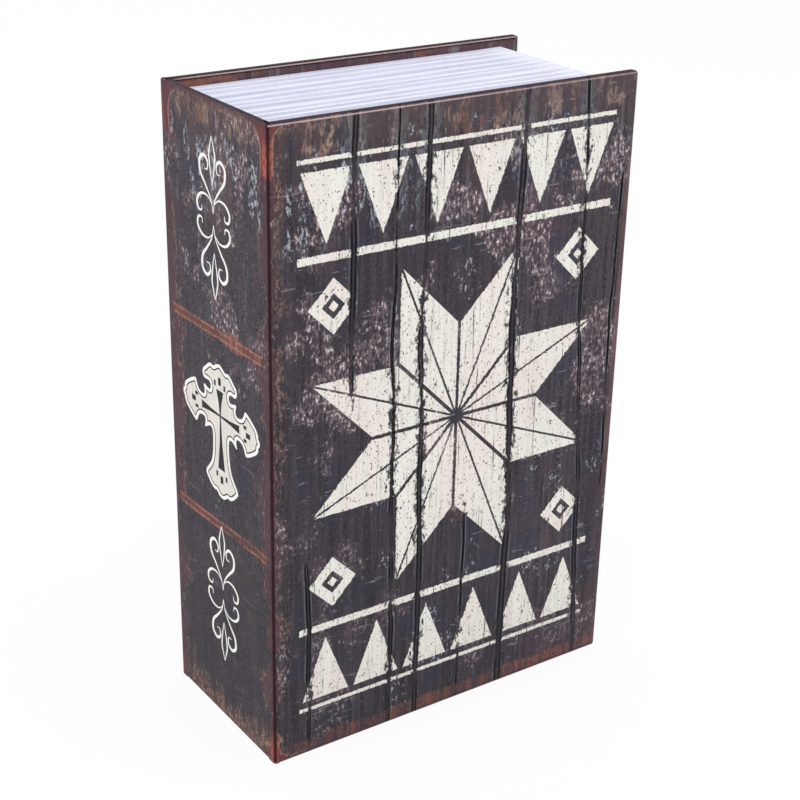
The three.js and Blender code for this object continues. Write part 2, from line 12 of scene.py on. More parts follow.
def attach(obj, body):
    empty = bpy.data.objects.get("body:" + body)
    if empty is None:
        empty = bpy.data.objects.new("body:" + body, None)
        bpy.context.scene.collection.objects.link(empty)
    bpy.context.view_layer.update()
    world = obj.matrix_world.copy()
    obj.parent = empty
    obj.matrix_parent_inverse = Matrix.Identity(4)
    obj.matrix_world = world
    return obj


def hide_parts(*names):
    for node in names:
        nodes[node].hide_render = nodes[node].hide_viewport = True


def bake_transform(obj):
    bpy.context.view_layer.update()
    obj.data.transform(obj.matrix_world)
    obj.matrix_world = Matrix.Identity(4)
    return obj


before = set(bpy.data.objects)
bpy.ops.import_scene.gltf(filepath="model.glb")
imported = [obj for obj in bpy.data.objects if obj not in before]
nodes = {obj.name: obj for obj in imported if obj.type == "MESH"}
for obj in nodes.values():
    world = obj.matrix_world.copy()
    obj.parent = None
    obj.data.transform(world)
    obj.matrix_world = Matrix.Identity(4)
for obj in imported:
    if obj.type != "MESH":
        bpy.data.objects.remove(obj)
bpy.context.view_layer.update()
scene = bpy.context.scene
print("frame loaded:", len(nodes), "nodes")


def ink(red, green, blue):  # a colour read on screen, 0 to 255, as linear light
    def linear(c):
        c = c / 255
        return c / 12.92 if c <= 0.04045 else ((c + 0.055) / 1.055) ** 2.4
    return (linear(red), linear(green), linear(blue), 1)


def placed(name, data):  # a new object in the scene
    made = bpy.data.objects.new(name, data)
    scene.collection.objects.link(made)
    return made


class Wire:  # wraps one socket, so that sums of values add Math nodes
    def __init__(self, tree, socket):
        self.tree = tree
        self.socket = socket

    def __add__(self, other):
        return self.tree.maths("ADD", self, other)

    def __sub__(self, other):
        return self.tree.maths("SUBTRACT", self, other)

    def __rsub__(self, other):
        return self.tree.maths("SUBTRACT", other, self)

    def __mul__(self, other):
        return self.tree.maths("MULTIPLY", self, other)

    def __gt__(self, other):
        return self.tree.maths("GREATER_THAN", self, other)

    def __lt__(self, other):
        return self.tree.maths("LESS_THAN", self, other)

    def __abs__(self):
        return self.tree.maths("ABSOLUTE", self)

    __radd__ = __add__
    __rmul__ = __mul__


class Finish:  # the nodes of one material, or of the world
    def __init__(self, name, world=None):
        self.owner = world or bpy.data.materials.new(name)
        self.owner.use_nodes = True
        self.nodes = self.owner.node_tree.nodes
        self.links = self.owner.node_tree.links
        self.nodes.clear()

    def node(self, kind, settings, values, output=0):
        made = self.nodes.new(kind)
        for key, setting in settings.items():
            setattr(made, key, setting)
        pairs = values.items() if isinstance(values, dict) else enumerate(values)
        for key, value in pairs:
            if isinstance(value, Wire):
                self.links.new(value.socket, made.inputs[key])
            else:
                made.inputs[key].default_value = value
        return Wire(self, made.outputs[output]) if len(made.outputs) else made

    def maths(self, operation, *values):
        return self.node("ShaderNodeMath", {"operation": operation}, values)

    def most(self, a, b):
        return self.maths("MAXIMUM", a, b)

    def least(self, a, b):
        return self.maths("MINIMUM", a, b)

    def length(self, a, b):
        return self.maths("SQRT", a * a + b * b)

    def rise(self, value, low, high):  # 0 below low, 1 above high, smooth between
        settings = {"interpolation_type": "SMOOTHSTEP", "clamp": True}
        return self.node("ShaderNodeMapRange", settings, [value, low, high, 0, 1])

    def blend(self, share, a, b):  # colour a where share is 0, colour b where it is 1
        return self.node("ShaderNodeMix", {"data_type": "RGBA"}, {0: share, 6: a, 7: b}, 2)

    def attribute(self, name, output):
        return self.node("ShaderNodeAttribute", {"attribute_name": name}, [], output)

    def cloud(self, vector, stretch, seed, detail=4, roughness=0.55):
        shift = (seed * 7.3, seed * 3.1, seed * 5.7)
        moved = self.node("ShaderNodeVectorMath", {"operation": "MULTIPLY_ADD"}, [vector, stretch, shift])
        values = {"Vector": moved, "Scale": 1, "Detail": detail, "Roughness": roughness}
        return self.node("ShaderNodeTexNoise", {"noise_dimensions": "3D"}, values)

    def done(self, colour, roughness, metallic, height, depth, **uniform):  # depth in millimetres
        bump = {"Strength": 1, "Distance": depth * 0.001, "Height": height}
        values = {"Base Color": colour, "Roughness": roughness, "Metallic": metallic, **uniform}
        values["Normal"] = self.node("ShaderNodeBump", {}, bump)
        shader = self.node("ShaderNodeBsdfPrincipled", {}, values)
        self.node("ShaderNodeOutputMaterial", {}, {"Surface": shader})
        return self.owner


class Skin:  # collects faces in millimetres, with a place on the printed sheet for every corner
    def __init__(self):
        self.points = []
        self.known = {}
        self.faces = []

    def vertex(self, point):
        key = tuple(round(c * 2000) for c in point)
        if key not in self.known:
            self.known[key] = len(self.points)
            self.points.append(Vector(point))
        return self.known[key]

    def face(self, points, sheet=None, cream=0, dark=0, slot=0):
        corners = [self.vertex(p) for p in points]
        sheet = sheet or [(0, 0, 0)] * len(corners)
        kept = [i for i, c in enumerate(corners) if c != corners[i - 1]]
        corners = [corners[i] for i in kept]
        if len(set(corners)) >= 3 and len(set(corners)) == len(corners):
            self.faces.append((corners, [sheet[i] for i in kept], cream, dark, slot))

    def made(self, name, materials, smoothAngle=40):
        mesh = bpy.data.meshes.new(name)
        mesh.from_pydata([p * 0.001 for p in self.points], [], [f[0] for f in self.faces])
        sheet = mesh.attributes.new("sheet", "FLOAT_VECTOR", "CORNER")
        sheet.data.foreach_set("vector", [c for f in self.faces for s in f[1] for c in s])
        for mark, column in (("cream", 2), ("dark", 3)):
            values = [f[column] for f in self.faces]
            mesh.attributes.new(mark, "FLOAT", "FACE").data.foreach_set("value", values)
        mesh.polygons.foreach_set("material_index", [f[4] for f in self.faces])
        for material in materials:
            mesh.materials.append(material)
        tidy = bmesh.new()
        tidy.from_mesh(mesh)
        bmesh.ops.recalc_face_normals(tidy, faces=tidy.faces)
        for face in tidy.faces:
            face.smooth = True
        for edge in tidy.edges:
            edge.smooth = len(edge.link_faces) == 2 and edge.calc_face_angle(0) < math.radians(smoothAngle)
        tidy.to_mesh(mesh)
        tidy.free()
        return placed(name, mesh)


def closed(outline):  # the sides of an outline, the last one back to its start
    return zip(outline, outline[1:] + outline[:1])


def inside(point, outline):  # how many times the outline goes round the point
    turns = 0
    for (ax, ay), (bx, by) in closed(outline):
        if (ay > point[1]) != (by > point[1]) and point[0] < (bx - ax) * (point[1] - ay) / (by - ay) + ax:
            turns += 1 if by > ay else -1
    return turns


def flatRegions(outlines, keep=None):  # triangles of a flat drawing: [(three points, middle)]
    points, edges = [], []
    for outline in outlines:
        first = len(points)
        points.extend(Vector(p) for p in outline)
        edges.extend((first + i, first + (i + 1) % len(outline)) for i in range(len(outline)))
    places, _, faces, _, _, _ = delaunay_2d_cdt(points, edges, [], 0, 1e-5)
    found = []
    for face in faces:
        corners = [places[i] for i in face]
        middle = sum(corners, Vector((0, 0))) / len(corners)
        if keep is None or keep(middle):
            found.append((corners, middle))
    return found


book = {
    "height": 180, "spineFace": -57.5, "foreEdge": 57.5, "halfDepth": 27.5, "paper": 0.3, "turnIn": 12,
    "edgeRound": 0.7, "innerRound": 0.5, "roundSteps": 4, "spineHalf": 24.2, "spineThick": 2.2,
}

# the printed paper of the covers and spine
printLook = {
    "charcoal": ink(88, 81, 88), "deep": ink(52, 49, 55), "pale": ink(118, 111, 118),
    "coolTint": ink(62, 63, 78), "maroonTint": ink(79, 65, 75), "brownTint": ink(93, 79, 81),
    "greyStreak": ink(120, 124, 130), "wornPatch": ink(126, 108, 114), "fleck": ink(222, 208, 211),
    "seam": ink(14, 12, 15), "tanDrip": ink(190, 162, 144), "coldDrip": ink(182, 188, 200),
    "rust": ink(140, 94, 78), "redCorner": ink(124, 66, 67), "maroon": ink(86, 60, 69),
    "divider": ink(126, 78, 70), "dividerLine": ink(178, 128, 108), "salmon": ink(186, 102, 86),
    "arc": ink(186, 124, 110), "crease": ink(42, 20, 28), "orange": ink(152, 110, 94),
    "scuff": ink(158, 146, 150), "cream": ink(238, 237, 230), "creamShade": ink(216, 212, 203),
    "creamPink": ink(241, 231, 226), "whiteLine": ink(250, 249, 246), "edge": ink(34, 17, 25),
    # edgeWearAndHighlight is the light line along the cover edges, partly wear and partly painted highlight
    "edgeWearAndHighlight": ink(214, 184, 184), "turnIn": ink(96, 70, 78), "foreEdge": ink(116, 88, 90),
    "printClouds": {  # stretch, seed, detail and roughness
        "fibre": ((0.8, 0.03, 0), 1, 6, 0.65), "grit": ((2.4, 1.6, 0), 2, 3, 0.65),
        "tint": ((0.05, 0.022, 0), 3, 5, 0.6), "patch": ((0.055, 0.05, 0), 5, 4, 0.6),
        "fleck": ((1.1, 0.55, 0), 6, 5, 0.75), "wobble": ((0.07, 0.06, 0), 7, 5, 0.6),
        "column": ((0.42, 0.022, 0), 8, 5, 0.65), "bend": ((0.013, 0.02, 0), 11, 3),
        "scuff": ((0.11, 0.95, 0), 12, 4, 0.7), "dab": ((0.34, 0.085, 0), 9, 4, 0.6),
    },
    "paintClouds": {
        "jitter": ((1.3, 0.8, 0), 21, 3, 0.7), "scratch": ((1.6, 0.045, 0), 22, 5, 0.65),
        "chip": ((0.7, 0.32, 0), 23, 6, 0.78), "speck": ((1.9, 1.3, 0), 24, 2, 0.5),
    },
    "seams": (  # place across, half width at the top and at the foot, lowest and highest point, slant
        (10.8, 0.7, 0.7, 0, 58, 0), (24.5, 0.95, 0.95, 108, 200, 0), (37.3, 0.2, 0.95, 0, 200, 0),
        (46.5, 0.9, 1.0, 0, 200, 0), (61.5, 0.3, 0.3, 0, 60, 0), (76.8, 1.1, 1.3, 0, 200, 0),
        (101.7, 0.4, 1.1, 0, 200, 0.048), (111.9, 0.3, 0.3, 58, 150, 0),
    ),
    "fullSeam": 200, "seamEnd": 12,  # length of a seam that runs through, and where another closes
    "warmDabs": ((13, 4), (70, 4), (89, 5)),
    "marginTop": 1.7, "marginLow": 2.3, "cornerRadius": 4.2, "topLine": 179.5, "bottomLine": 1.0,
    "dividers": ((118.8, 0.012), (62.2, 0.038)),  # height and slant
    "worn": (  # places on the sheet where the print is rubbed, with their reach
        (36.5, 106, 13), (51, 111.7, 9), (62, 116.3, 9), (136.5, 153.4, 12), (89.9, 119.5, 10),
        (34, 84, 8), (5, 126.8, 10), (-4, 112.8, 9), (-18, 165.8, 6), (5.5, 168.8, 6), (14.4, 167.2, 6),
    ),
    "cold": ((34.5, 7, 8), (110, 90.9, 9), (108.5, 75.8, 8), (123.1, 113.8, 9), (88.2, 173.9, 9)),
    "spotGain": 0.12, "far": 99,
}
quilt = {  # cream figures on the front: a star with borders above and below
    "middle": (58.0, 92.0), "starReach": 50.0, "backReach": 26.0, "gap": 0.45, "split": 0.25,
    "railFrom": 51.5, "railHalf": 1.1, "geeseFrom": 56.0, "geeseTall": 19.0, "geeseWide": 16.7,
    "geeseGap": 0.8, "topRail": 2.6, "left": 8.0, "right": 108.2,
    "markPlace": 39.5, "mark": 7.6, "markHollow": 3.4, "markDot": 1.6,
}


def creamFigures(f, p, v, front):  # 1 where the cream paint was laid
    q = quilt
    rise = f.rise
    dx, dz = p - q["middle"][0], v - q["middle"][1]
    away = f.length(dx, dz)
    eighth = math.pi / 4
    folded = f.maths("FLOORED_MODULO", f.maths("ARCTAN2", dz, dx), eighth) - eighth / 2
    alongTip = away * f.maths("COSINE", folded)
    offTip = abs(away * f.maths("SINE", folded))
    s, c = math.sin(eighth / 2), math.cos(eighth / 2)
    reach = q["backReach"] + front * (q["starReach"] - q["backReach"])
    star = rise(reach * s - alongTip * s - offTip * c, 0, 0.15)
    star = star * rise(alongTip * s - offTip * c - q["gap"], 0, 0.15)
    star = star * rise(offTip, q["split"], q["split"] + 0.12)
    tall = abs(dz)
    up = tall - q["geeseFrom"]
    half = q["geeseWide"] / 2
    middleOff = abs(f.maths("FLOORED_MODULO", p - q["left"], q["geeseWide"]) - half)
    geese = rise(up * ((half - q["geeseGap"]) / q["geeseTall"]) - middleOff, 0, 0.12)
    geese = geese * rise(q["geeseTall"] - up, 0, 0.15)
    rail = rise(q["railHalf"] - abs(tall - q["railFrom"] - q["railHalf"]), 0, 0.15)
    topRail = rise(q["railHalf"] * 0.6 - abs(up - q["geeseTall"] - q["topRail"]), 0, 0.15)
    sideLimit = rise(p, q["left"] - 0.1, q["left"] + 0.1) * rise(q["right"] - p, 0, 0.2)
    tilted = abs(abs(dx) - q["markPlace"]) + abs(abs(dz) - q["markPlace"])
    marks = rise(q["mark"] - tilted, 0, 0.15) * rise(tilted, q["markHollow"], q["markHollow"] + 0.15)
    marks = marks + rise(q["markDot"] - tilted, 0, 0.15)
    return f.most(f.most(star, marks), f.most(f.most(geese, rail), topRail) * sideLimit)


def printedPaper():
    look, top, flat = printLook, book["height"], book["edgeRound"]
    f = Finish("printedPaper")
    rise, most, least = f.rise, f.most, f.least
    sheet = f.attribute("sheet", "Vector")
    u, v = (f.node("ShaderNodeSeparateXYZ", {}, [sheet], axis) for axis in "XY")
    across = abs(u)
    p = across - book["halfDepth"]  # 0 at the fold, positive on a cover
    fromFold = abs(p)
    onCover = p > 0
    onSpine = 1 - onCover

    def clouds(kind):
        return (f.cloud(sheet, *row) for row in look[kind].values())

    fibre, grit, tint, patch, fleck, wobble, column, bend, scuff, dab = clouds("printClouds")
    grain = fibre + (grit - fibre) * (0.35 + onSpine * 0.35)
    for spots, gain in (("worn", look["spotGain"]), ("cold", -look["spotGain"])):
        for place, height, reach in look[spots]:
            ends = [sheet, (place, height, 0)]
            away = f.node("ShaderNodeVectorMath", {"operation": "DISTANCE"}, ends, "Value")
            patch = patch + rise(away, reach, 0) * gain

    def tone(share, *shades):  # between two shades, by name or worked out before
        return f.blend(share, *(look[c] if isinstance(c, str) else c for c in shades))

    def lay(share, shade):  # puts a shade over what is there so far
        nonlocal colour
        colour = tone(share, colour, shade)

    # planks
    colour = tone(rise(grain, 0.38, 0.64), "deep", "charcoal")
    speckled = rise(grit, 0.52, 0.72) * rise(fleck, 0.33, 0.58)
    lay(speckled * (0.5 + rise(v, 80, 165) * 0.45), "pale")
    brown = rise(tint + rise(v, 100, 180) * 0.12, 0.56, 0.68) * rise(column, 0.34, 0.56)
    lay(brown * 0.7, "brownTint")
    lay(rise(0.5 - tint, 0.02, 0.14) * 0.6, "maroonTint")
    lay(rise(wobble, 0.5, 0.6) * 0.5, "coolTint")
    streaks = rise(column, 0.58, 0.66) * rise(grain, 0.35, 0.6)
    lay(streaks * (0.18 + rise(v, 60, 150) * 0.4), "greyStreak")
    # the spine made darker towards its foot
    lay(rise(130 - v, 0, 120) * onSpine * 0.5, "deep")

    # distance to the dark band of the nearest seam, and to its inked lines
    wander = (bend - 0.5) * 4
    ragged = (fleck - 0.5) * 1.4 + (wobble - 0.5) * 0.8
    plank = 0
    nearSeam = nearInk = look["far"]
    drop = (top - v) * (1 / top)
    tight = rise(0.52 - wobble, 0, 0.14) * 0.45  # where the seams are narrower
    for place, topHalf, footHalf, lowest, highest, slant in look["seams"]:
        off = p - place + wander
        half = drop * (footHalf - topHalf) + topHalf if footHalf > topHalf else topHalf
        if slant:
            off = off + (v - 90) * slant
        if highest - lowest < look["fullSeam"]:
            end = look["seamEnd"]
            shut = (1 - rise(v, lowest - end, lowest) * rise(highest + end - v, 0, end)) * 3 + tight
        else:
            plank = plank + (off > 0)
            shut = tight
        nearSeam = least(nearSeam, abs(off) - half + shut)
        nearInk = least(nearInk, abs(abs(off) - half * 0.6) + shut * 0.3)
    plankTone = f.node("ShaderNodeTexWhiteNoise", {"noise_dimensions": "1D"}, {"W": plank + 0.5})
    lay(plankTone * onCover * 0.4, "deep")

    # worn patches with light flecks, and dabs below the top edge
    bare = 1 - rise(118 - v - onCover * 38, 0, 20) * (0.9 - onCover * 0.3)
    lay(rise(patch, 0.54, 0.61) * rise(fleck, 0.45, 0.53) * bare * 0.7, "wornPatch")
    lay(rise(patch, 0.53, 0.6) * rise(fleck, 0.575, 0.61) * bare * 0.9, "fleck")
    coldFleck = rise(0.385 - patch, 0, 0.03) * rise(fleck, 0.56, 0.6)
    lay(coldFleck * (0.3 + onCover * 0.5), "coldDrip")
    scuffed = rise(scuff, 0.61, 0.66) * rise(patch + wobble, 0.98, 1.06)
    lay(scuffed * (0.25 + onCover * 0.3), "scuff")
    fade = 1 - rise(p, 16, 46) * 0.7
    coldDab = rise(dab, 0.51, 0.58) * rise(v - onSpine * 4, 144, 154)
    coldDab = coldDab * rise(175 - v, 0, 8) * rise(fleck, 0.5, 0.56)
    lay(coldDab * fade * 0.9, "coldDrip")
    warm = look["far"]
    for place, half in look["warmDabs"]:
        warm = least(warm, abs(p - place) - half)
    warm = onSpine * 0.5 + onCover * rise(1 - warm + ragged * 2, 0, 3)
    tanDab = rise(0.43 - dab + warm * 0.13, -0.03, 0.07)
    tanDab = tanDab * rise(v + column * 10 - onSpine * 2.5, 174, 178) * rise(fleck, 0.38, 0.58)
    lay(tanDab * (0.5 + fade * 0.35), tone(rise(tint, 0.5, 0.6), "tanDrip", "orange"))
    flank = rise(3.6 - nearSeam, 0, 2.4) * rise(v + (column - 0.5) * 50, 158, 168)
    lay(flank * rise(fleck, 0.4, 0.55) * onCover * 0.5, "greyStreak")
    lay(rise(v + column * 30, 182, 196) * 0.5, "brownTint")

    # rust along the foot
    rust = rise(4.9 - v + (wobble - 0.5) * 4 + (fleck - 0.5) * 2, -0.4, 0.8)
    rust = rust * (0.95 - plankTone * 0.35)
    rustInk = tone(rise(grit + column, 0.9, 1.15), "maroonTint", "rust")
    lay(rust * onCover, tone(rise(1.6 - v, 0, 0.8) * 0.7, rustInk, "maroon"))
    foot = onSpine * rise(9 - v + (column - 0.5) * 30, 0, 8) * rise(fleck, 0.43, 0.55)
    lay(foot * 0.7, tone(rise(grit, 0.45, 0.6), "rust", "tanDrip"))

    # margin along the folds, with rounded corners at the top and a thin line
    upper = rise(v + (fleck - 0.5) * 3, 165.5, 168.5)
    swell = (wobble - 0.5) * (24 - upper * 23) * (0.45 + onSpine * 0.55)
    margin = look["marginLow"] + (look["marginTop"] - look["marginLow"]) * upper + swell
    margin = margin + onSpine * (1.2 + (u < 0) * 1.3) - onCover * (1.2 - upper * 0.6)
    radius = look["cornerRadius"] + onSpine * 2.6
    qx = margin + radius - fromFold
    qy = most(v - (look["topLine"] - radius), look["bottomLine"] + radius - v)
    outside = f.length(most(qx, 0), most(qy, 0)) + least(most(qx, qy), 0) - radius
    nearFold = 1 - onCover * rise(fromFold, 7, 14)
    beside = rise(outside, -5, -0.5) * rise(fleck, 0.46, 0.56)
    beside = beside * rise(wobble + (column - 0.5) * 0.6, 0.46, 0.58) * nearFold
    lay(beside * 0.42, tone(rise(grit, 0.4, 0.65), "rust", "tanDrip"))
    topCorner = upper * rise(8 - onCover * 3 - fromFold, 0, 4)
    corner = most(topCorner, rise(12 - v, 0, 8) * rise(6 - fromFold, 0, 5))
    toFront = rise(u, -5, 5)  # the front side is the redder one
    reddened = corner * rise(fleck + grit, 0.8, 1.15) * (0.45 + toFront * 0.55)
    marginInk = tone(reddened, "maroon", "redCorner")
    marginInk = tone(rise(grit + fibre, 0.95, 1.2) * 0.5, marginInk, "brownTint")
    lay(rise(outside, -1.0, 0.4) * nearFold * (0.7 + corner * 0.25), marginInk)
    reddest = upper * rise(178 - v, 0, 7) + rise(12 - v, 0, 8) * 0.6
    band = rise(3.0 - onCover * 1.4 - fromFold, 0, 1.3) * reddest * rise(grit + fleck, 0.78, 1.05)
    lay(band * (0.3 + toFront * 0.7), "salmon")
    line = rise(0.4 - abs(outside + 0.3), 0, 0.3) * rise(fleck + corner * 0.1, 0.48, 0.56) * nearFold
    lay(line * (0.3 + corner * 0.35), tone(corner, "tanDrip", "arc"))
    lay(rise(v, 178.3, 179.0) * onSpine * 0.4, "maroon")
    lay(rise(0.8 - fromFold, 0, 0.5) * 0.9, "crease")

    # stained double lines across the spine
    middle = onSpine * rise(25.5 - across, 0, 2.5)
    blot = rise(6 - abs(u - 9), 0, 5) * rise(v, 90, 100)
    for place, slant in look["dividers"]:
        off = abs(v - place - u * slant + (wobble - 0.5) * 1.4)
        stained = rise(2.0 + blot * 0.9 + ragged * 0.8 - off, 0, 0.9)
        stained = stained * rise(fleck + wobble * 0.5 + blot * 0.2, 0.58, 0.8)
        stain = tone(blot * rise(fibre, 0.4, 0.6), "divider", "orange")
        lay(stained * (0.6 + rise(grit + fibre, 0.8, 1.15) * 0.3) * middle, stain)
        pair = rise(0.42 - abs(off - 1.0 + ragged * 0.25), 0, 0.35)
        pair = pair * rise(fleck + wobble * 0.5, 0.64, 0.84)
        lineInk = tone(rise(column + grit * 0.5, 0.66, 0.86), "orange", "tanDrip")
        lay(pair * middle * 0.8, tone(rise(wobble, 0.42, 0.6), lineInk, "dividerLine"))

    # seams between the planks, and the rubbed strip at the fore-edge
    gap = rise(ragged * 0.6 - nearSeam, -0.15, 0.25)
    lay(gap * 0.8, "deep")
    paleLine = rise(0.2 - abs(nearSeam - 0.35), 0, 0.14)
    lay(paleLine * rise(wobble + (fleck - 0.5) * 0.4, 0.46, 0.58) * 0.65, "greyStreak")
    inked = rise(0.22 - nearInk + ragged * 0.22, -0.08, 0.14)
    lay(inked * (0.62 + rise(wobble + fibre * 0.4, 0.56, 0.76) * 0.38), "seam")
    strip = rise(p + ragged * 0.3, 112.5, 113.2) * rise(165 - v, 0, 25) * (0.3 + rise(v, 35, 70) * 0.7)
    lay(strip * (0.35 + rise(wobble, 0.42, 0.58) * 0.4), "foreEdge")

    # cream paint, chipped along the seams and speckled
    jitter, scratch, chip, speck = clouds("paintClouds")
    jitter = (jitter - 0.5) * 0.9
    laid = creamFigures(f, p + jitter, v - jitter, u > 0) * onCover
    seamChip = rise(2.4 - nearSeam, 0, 2.6) * 0.14
    wear = most(rise(scratch, 0.63, 0.67), rise(chip + seamChip, 0.61, 0.64))
    wear = most(wear, rise(speck, 0.62, 0.65) * rise(chip, 0.45, 0.52))
    paint = laid * (1 - most(wear, gap))
    shade = tone(rise(tint, 0.42, 0.6), "cream", "creamPink")
    shade = tone(rise(scratch, 0.42, 0.62) * 0.5, shade, "creamShade")
    lay(paint, shade)
    cream = f.attribute("cream", "Fac")
    lay(cream, shade)
    lay(rise(cream, 1.2, 1.8), "whiteLine")
    lay(f.attribute("dark", "Fac"), "deep")

    # cut edges of the covers: nearly black, with a thin light line outside that is partly wear and partly
    # painted highlight
    width = book["foreEdge"] - book["spineFace"]
    past = most(most(v - (top - flat), flat - v), p - (width - flat))
    lay(rise(past, 0.65, 0.95) * rise(4.4 - past, 0, 1), "edge")
    turnInk = tone(rise(wobble + rise(16 - p, 0, 8) * 0.25, 0.56, 0.68), "turnIn", "rust")
    turnInk = tone(rise(column, 0.57, 0.64) * 0.8, turnInk, "greyStreak")
    lay(rise(past, 3.4, 4.4) * 0.75, turnInk)
    # light line round the outer rounding of the edges, partly wear and partly painted highlight, strongest on
    # the top edge
    wornAndHighlightLine = rise(0.27 - abs(past - 0.25), 0, 0.18) * (0.35 + fleck * 0.8) * onCover
    wornAndHighlightLine = wornAndHighlightLine * (1 - rise(p, 20, 100) * 0.45)
    lay(wornAndHighlightLine * (0.2 + rise(v, 170, 179) * 0.8), "edgeWearAndHighlight")
    # light line on the inner rounding of the back cover's edge, partly wear and partly painted highlight
    backEdgeWearAndHighlight = rise(0.28 - abs(past - 3.2), 0, 0.2) * rise(-1 * u, 28, 34)
    lay(backEdgeWearAndHighlight * (0.2 + fleck), "edgeWearAndHighlight")

    roughness = 0.44 + rise(fleck, 0.3, 0.7) * 0.14 - paint * 0.05
    height = grit * 0.25 + fibre * 0.3 + paint * 0.25
    return f.done(colour, roughness, 0, height, 0.05, **{"Specular IOR Level": 0.05})


paper = printedPaper()
print("printed paper ready")


# board covers with rounded edges
cover = {"start": -56.0, "corner": 0.9, "thick": 2.7, "arcSteps": 6}


def coverPoint(station, inset):  # a station round the three free edges, moved inward
    x, z, nx, nz, side = station
    rad = cover["corner"]
    if side and inset > rad:  # past the middle of a rounded corner
        return x - nx * rad + rad - inset, z - nz * rad + side * (rad - inset)
    return x - nx * inset, z - nz * inset


def coverStations():  # (x, z, normal, 1 at the top corner or -1 at the bottom one)
    right, top, rad = book["foreEdge"], book["height"], cover["corner"]
    stations = [(cover["start"], top, 0, 1, 0)]
    for cz, side, turn in ((top - rad, 1, 90), (rad, -1, 0)):
        for step in range(cover["arcSteps"] + 1):
            a = math.radians(turn - 90 * step / cover["arcSteps"])
            nx, nz = math.cos(a), math.sin(a)
            stations.append((right - rad + nx * rad, cz + nz * rad, nx, nz, side))
    return stations + [(cover["start"], 0, 0, -1, 0)]


def edgeRings(thick):  # paper round a board: (inset, depth, way travelled) from the outer face
    outer, inner, steps = book["edgeRound"], book["innerRound"], book["roundSteps"]
    paperThick, turnIn = book["paper"], book["turnIn"]
    bends = [math.radians(90 * step / steps) for step in range(steps + 1)]
    rings = [(outer * (1 - math.sin(a)), outer * (1 - math.cos(a)), outer * a) for a in bends]
    way = rings[-1][2] + thick - outer - inner
    for a in bends:
        rings.append((inner * (1 - math.cos(a)), thick - inner * (1 - math.sin(a)), way + inner * a))
    way = rings[-1][2]
    under = thick - paperThick
    rings += [(turnIn, thick, way + turnIn), (turnIn, under, way + turnIn)]
    return rings + [(paperThick, under, way), (paperThick, paperThick, way)]


def coverWrapPiece(name, sign):
    skin = Skin()
    stations = coverStations()
    rings = edgeRings(cover["thick"])

    def spot(station, ring):
        x, z = coverPoint(station, ring[0])
        return (x, sign * (book["halfDepth"] - ring[1]), z)

    def onSheet(station, ring):
        nx, nz = station[2:4]
        edgeX, edgeZ = coverPoint(station, book["edgeRound"])
        x, z = coverPoint(station, ring[0])
        out = edgeX * nx + edgeZ * nz + ring[2]
        along = z * nx - x * nz
        u = book["halfDepth"] + nx * out - nz * along - book["spineFace"]
        return (-sign * u, nz * out + nx * along, 0)

    def face(corners):
        skin.face([spot(*k) for k in corners], [onSheet(*k) for k in corners])

    for a, b in zip(stations, stations[1:]):
        for low, high in zip(rings, rings[1:]):
            face([(a, low), (b, low), (b, high), (a, high)])
    for ring in (rings[0], rings[-1]):
        flat = (ring[0], ring[1], 0)
        skin.face([spot(n, ring) for n in stations], [onSheet(n, flat) for n in stations])
    face([(stations[0], ring) for ring in rings] + [(stations[-1], ring) for ring in reversed(rings)])
    return skin.made(name, [paper])


frontCover = coverWrapPiece("frontCoverPaper", -1)
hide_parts("front_cover_wrap")
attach(frontCover, "front_cover")
backCover = coverWrapPiece("backCoverPaper", 1)
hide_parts("back_cover_wrap")
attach(backCover, "case")
print("covers ready")


# spine with the cross and the scrolls
crossShape = {
    "centre": (1.0, 95.5), "border": 1.0, "inline": 0.38,
    "upArm": [
        (5.8, 5.6), (4.9, 6.4), (4.9, 7.6), (6.0, 8.4), (8.3, 8.0), (9.4, 9.2), (9.2, 10.8), (7.6, 11.9),
    ],
    "upEnd": [(6.0, 13.3), (4.5, 13.8), (3.2, 13.3), (1.8, 14.3), (0, 15.0)],
    "notch": (9.2, 6.8),
    "sideArm": [(8.2, 4.4), (8.9, 3.1), (11.4, 3.4), (12.6, 4.6), (13.3, 6.6), (15.0, 6.0), (17.0, 4.9)],
    "sideEnd": [(19.2, 3.5), (20.1, 2.2), (19.9, 1.4), (20.8, 0.7), (20.8, 0)],
    "downArm": [
        (6.0, -4.7), (4.3, -5.4), (4.3, -8.9), (4.6, -12.4), (5.6, -15.6), (9.3, -19.3), (7.9, -21.0),
    ],
    "downEnd": [(5.8, -22.7), (4.2, -23.3), (2.9, -23.0), (1.7, -24.2), (0, -24.6)],
    "waist": 0.28, "wedges": ((0, 7.3, 1.95), (10.2, 0, 1.15), (0, -15.9, 1.85)),  # end and half width
    "blocks": (  # middle and half size of the small marks
        (0, 9.9, 0.75, 1.1), (2.6, 8.8, 0.5, 0.8), (0, -18.9, 0.75, 1.1), (2.6, -17.8, 0.5, 0.8),
        (14.8, 0, 1.1, 0.75), (13.2, 1.9, 0.8, 0.5), (13.2, -1.9, 0.8, 0.5),
    ),
}
scrolls = {  # strokes of one quarter of an ornament with their greatest half width
    "places": (149.5, 40.5), "thin": 0.13, "steps": 8, "nearby": 3, "slack": 0.01,
    "strokes": [
        (0.5, [
            (0, 1.5), (1.0, 5.0), (3.6, 8.2), (6.2, 11.0), (6.5, 14.2), (4.3, 15.8), (2.3, 14.5),
            (2.6, 12.5), (4.1, 12.4),
        ]),
        (0.42, [(0.6, 4.0), (3.0, 5.6), (6.2, 5.4), (8.4, 3.4), (8.0, 1.2), (6.2, 1.0), (5.9, 2.4)]),
        (0.32, [(0, 9.0), (0.9, 12.5), (1.5, 16.5), (0.9, 19.0), (0, 21.5)]),
    ],
}


